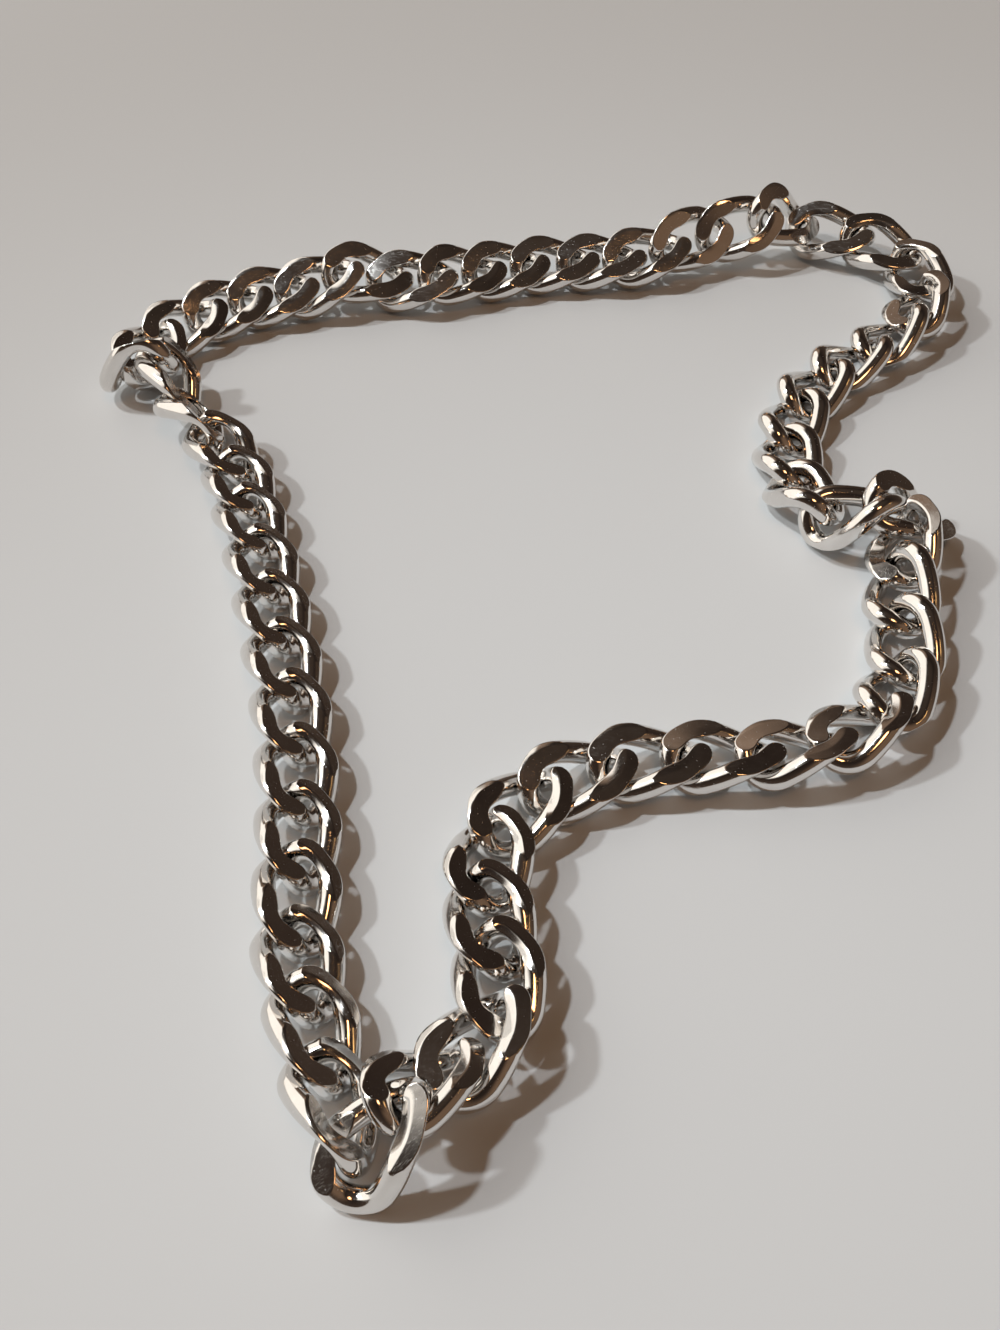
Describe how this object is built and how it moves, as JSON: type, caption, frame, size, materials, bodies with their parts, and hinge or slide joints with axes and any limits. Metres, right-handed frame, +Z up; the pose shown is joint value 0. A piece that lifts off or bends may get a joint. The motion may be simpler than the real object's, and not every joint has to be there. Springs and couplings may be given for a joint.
{
  "type": "curb chain laid out as a closed loop",
  "caption": "Heavy steel curb chain with filed flats, closed on itself and laid out flat as an open loop.",
  "frame": {"origin": "middle of the underside of the box around the chain as it lies, on the floor", "axes": "+Z up from the floor, +Y along the loop's long side and away from the viewer, +X to the viewer's right"},
  "size_m": [0.1538, 0.2008, 0.0145],
  "materials": {
    "polished_steel": "bright polished, flats filed and buffed"
  },
  "bodies": {
    "root": {"link_01": "polished_steel", "link_02": "polished_steel", "link_03": "polished_steel", "link_04": "polished_steel", "link_05": "polished_steel", "link_06": "polished_steel", "link_07": "polished_steel", "link_08": "polished_steel", "link_09": "polished_steel", "link_10": "polished_steel", "link_11": "polished_steel", "link_12": "polished_steel", "link_13": "polished_steel", "link_14": "polished_steel", "link_15": "polished_steel", "link_16": "polished_steel", "link_17": "polished_steel", "link_18": "polished_steel", "link_19": "polished_steel", "link_20": "polished_steel", "link_21": "polished_steel", "link_22": "polished_steel", "link_23": "polished_steel", "link_24": "polished_steel", "link_25": "polished_steel", "link_26": "polished_steel", "link_27": "polished_steel", "link_28": "polished_steel", "link_29": "polished_steel", "link_30": "polished_steel", "link_31": "polished_steel", "link_32": "polished_steel", "link_33": "polished_steel", "link_34": "polished_steel", "link_35": "polished_steel", "link_36": "polished_steel", "link_37": "polished_steel", "link_38": "polished_steel", "link_39": "polished_steel", "link_40": "polished_steel", "link_41": "polished_steel", "link_42": "polished_steel", "link_43": "polished_steel", "link_44": "polished_steel", "link_45": "polished_steel", "link_46": "polished_steel", "link_47": "polished_steel", "link_48": "polished_steel", "link_49": "polished_steel", "link_50": "polished_steel", "link_51": "polished_steel", "link_52": "polished_steel", "link_53": "polished_steel", "link_54": "polished_steel", "link_55": "polished_steel", "link_56": "polished_steel", "link_57": "polished_steel", "link_58": "polished_steel", "link_59": "polished_steel"}
  },
  "joints": []
}
